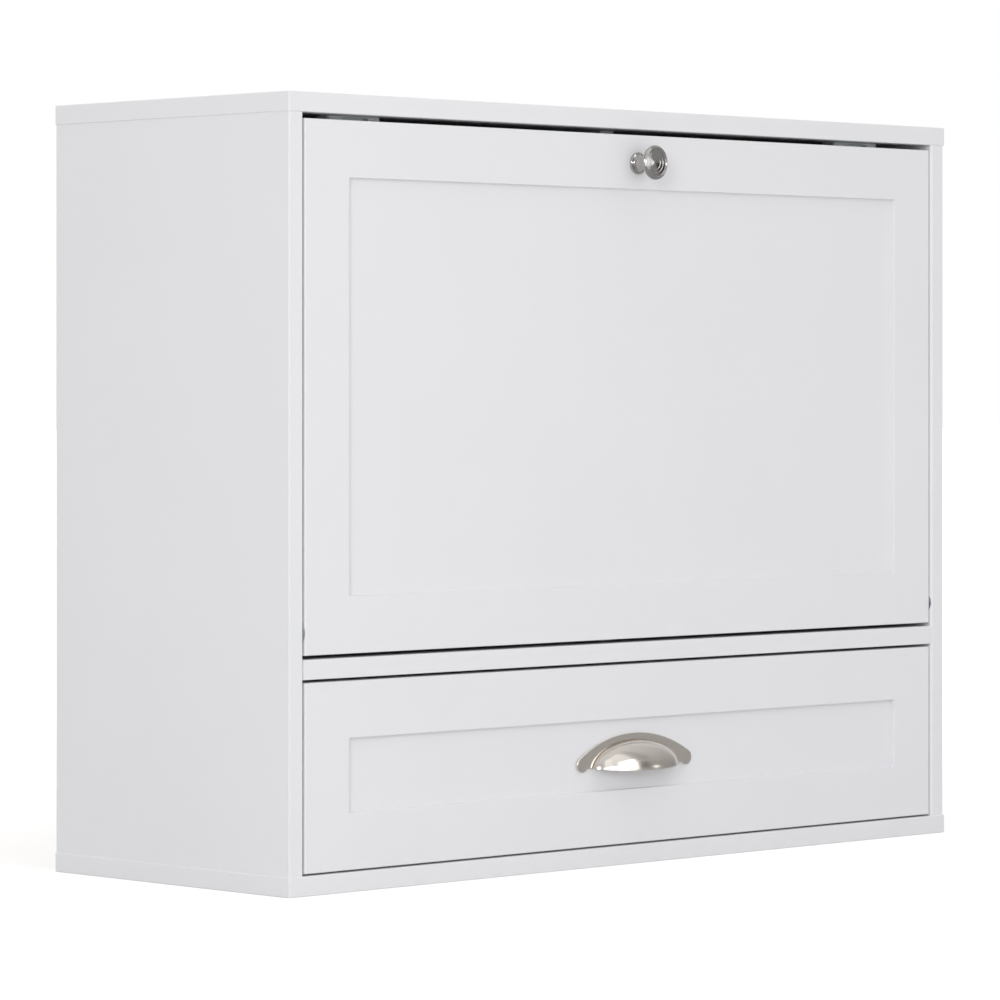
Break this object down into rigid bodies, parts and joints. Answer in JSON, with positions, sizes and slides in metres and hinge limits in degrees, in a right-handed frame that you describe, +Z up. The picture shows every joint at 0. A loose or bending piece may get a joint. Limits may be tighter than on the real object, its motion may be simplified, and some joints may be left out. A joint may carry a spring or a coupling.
{
  "type": "wall-hung secretary desk",
  "caption": "Wall-hung secretary desk: a white cabinet with a shaker flap that drops to a writing surface on slotted stays, above a shaker drawer with a cup pull.",
  "frame": {"origin": "middle of the underside of the bottom board", "axes": "+X to the right along the front, seen from the front; +Y from the front to the back; +Z up"},
  "size_m": [0.8, 0.313, 0.64],
  "materials": {
    "white_paint": "satin white paint on wood fibre board",
    "white_hardboard": "white-faced hardboard",
    "beech": "plain beech",
    "zinc_plated_steel": "bright zinc plate",
    "polished_chrome": "polished",
    "satin_nickel": "satin nickel plate on a die casting",
    "grey_plastic": "moulded",
    "ferrite": "sintered ferrite"
  },
  "bodies": {
    "cabinet": {"top_board": "white_paint", "bottom_board": "white_paint", "left_side_panel": "white_paint", "right_side_panel": "white_paint", "middle_board": "white_paint", "back_panel": "white_hardboard", "hanging_rail": "white_paint", "centre_divider": "white_paint", "left_shelf": "white_paint", "right_shelf": "white_paint", "shelf_pins": "zinc_plated_steel", "cam_locks": "zinc_plated_steel", "cam_bolts": "zinc_plated_steel", "wood_dowels": "beech", "catch_bodies": "grey_plastic", "catch_magnets": "ferrite", "catch_pole_plates": "zinc_plated_steel", "catch_screws": "zinc_plated_steel", "left_pivot_pin": "zinc_plated_steel", "right_pivot_pin": "zinc_plated_steel", "left_stay_stud": "zinc_plated_steel", "right_stay_stud": "zinc_plated_steel", "left_runner_outer": "zinc_plated_steel", "right_runner_outer": "zinc_plated_steel", "runner_outer_screws": "zinc_plated_steel"},
    "flap": {"flap_board": "white_paint", "flap_top_rail": "white_paint", "flap_bottom_rail": "white_paint", "flap_left_stile": "white_paint", "flap_right_stile": "white_paint", "left_pivot_bush": "zinc_plated_steel", "right_pivot_bush": "zinc_plated_steel", "knob": "polished_chrome", "knob_screw": "zinc_plated_steel", "strike_plates": "zinc_plated_steel", "flap_screws": "zinc_plated_steel", "left_stay_bracket": "zinc_plated_steel", "right_stay_bracket": "zinc_plated_steel", "stay_rivets": "zinc_plated_steel"},
    "left_stay": {"left_stay_arm": "zinc_plated_steel"},
    "right_stay": {"right_stay_arm": "zinc_plated_steel"},
    "drawer": {"drawer_front_board": "white_paint", "drawer_front_top_rail": "white_paint", "drawer_front_bottom_rail": "white_paint", "drawer_front_left_stile": "white_paint", "drawer_front_right_stile": "white_paint", "drawer_left_side": "white_paint", "drawer_right_side": "white_paint", "drawer_back": "white_paint", "drawer_bottom": "white_hardboard", "drawer_dowels": "beech", "drawer_back_screws": "zinc_plated_steel", "cup_pull": "satin_nickel", "cup_pull_screws": "zinc_plated_steel", "left_runner_inner": "zinc_plated_steel", "right_runner_inner": "zinc_plated_steel", "runner_inner_screws": "zinc_plated_steel"},
    "left_runner_slide": {"left_runner_middle": "zinc_plated_steel"},
    "right_runner_slide": {"right_runner_middle": "zinc_plated_steel"}
  },
  "joints": [
    {"name": "flap_drop", "type": "hinge", "parent": "cabinet", "child": "flap", "pos_m": [0, -0.135, 0.2092], "axis": [1, 0, 0], "range_deg": [0, 90]},
    {"name": "left_stay_turn", "type": "hinge", "parent": "flap", "child": "left_stay", "pos_m": [-0.3785, -0.118, 0.35944], "axis": [1, 0, 0], "range_deg": [-45, 0]},
    {"name": "right_stay_turn", "type": "hinge", "parent": "flap", "child": "right_stay", "pos_m": [0.3785, -0.118, 0.35944], "axis": [1, 0, 0], "range_deg": [-45, 0]},
    {"name": "drawer_slide", "type": "slide", "parent": "cabinet", "child": "drawer", "axis": [0, -1, 0], "range_m": [0, 0.25]},
    {"name": "left_runner_travel", "type": "slide", "parent": "cabinet", "child": "left_runner_slide", "axis": [0, -1, 0], "range_m": [0, 0.125]},
    {"name": "right_runner_travel", "type": "slide", "parent": "cabinet", "child": "right_runner_slide", "axis": [0, -1, 0], "range_m": [0, 0.125]}
  ],
  "couplings": [
    {"joint": "left_stay_turn", "follows": "flap_drop", "ratio": -0.5},
    {"joint": "right_stay_turn", "follows": "flap_drop", "ratio": -0.5},
    {"joint": "left_runner_travel", "follows": "drawer_slide", "ratio": 0.5},
    {"joint": "right_runner_travel", "follows": "drawer_slide", "ratio": 0.5}
  ]
}
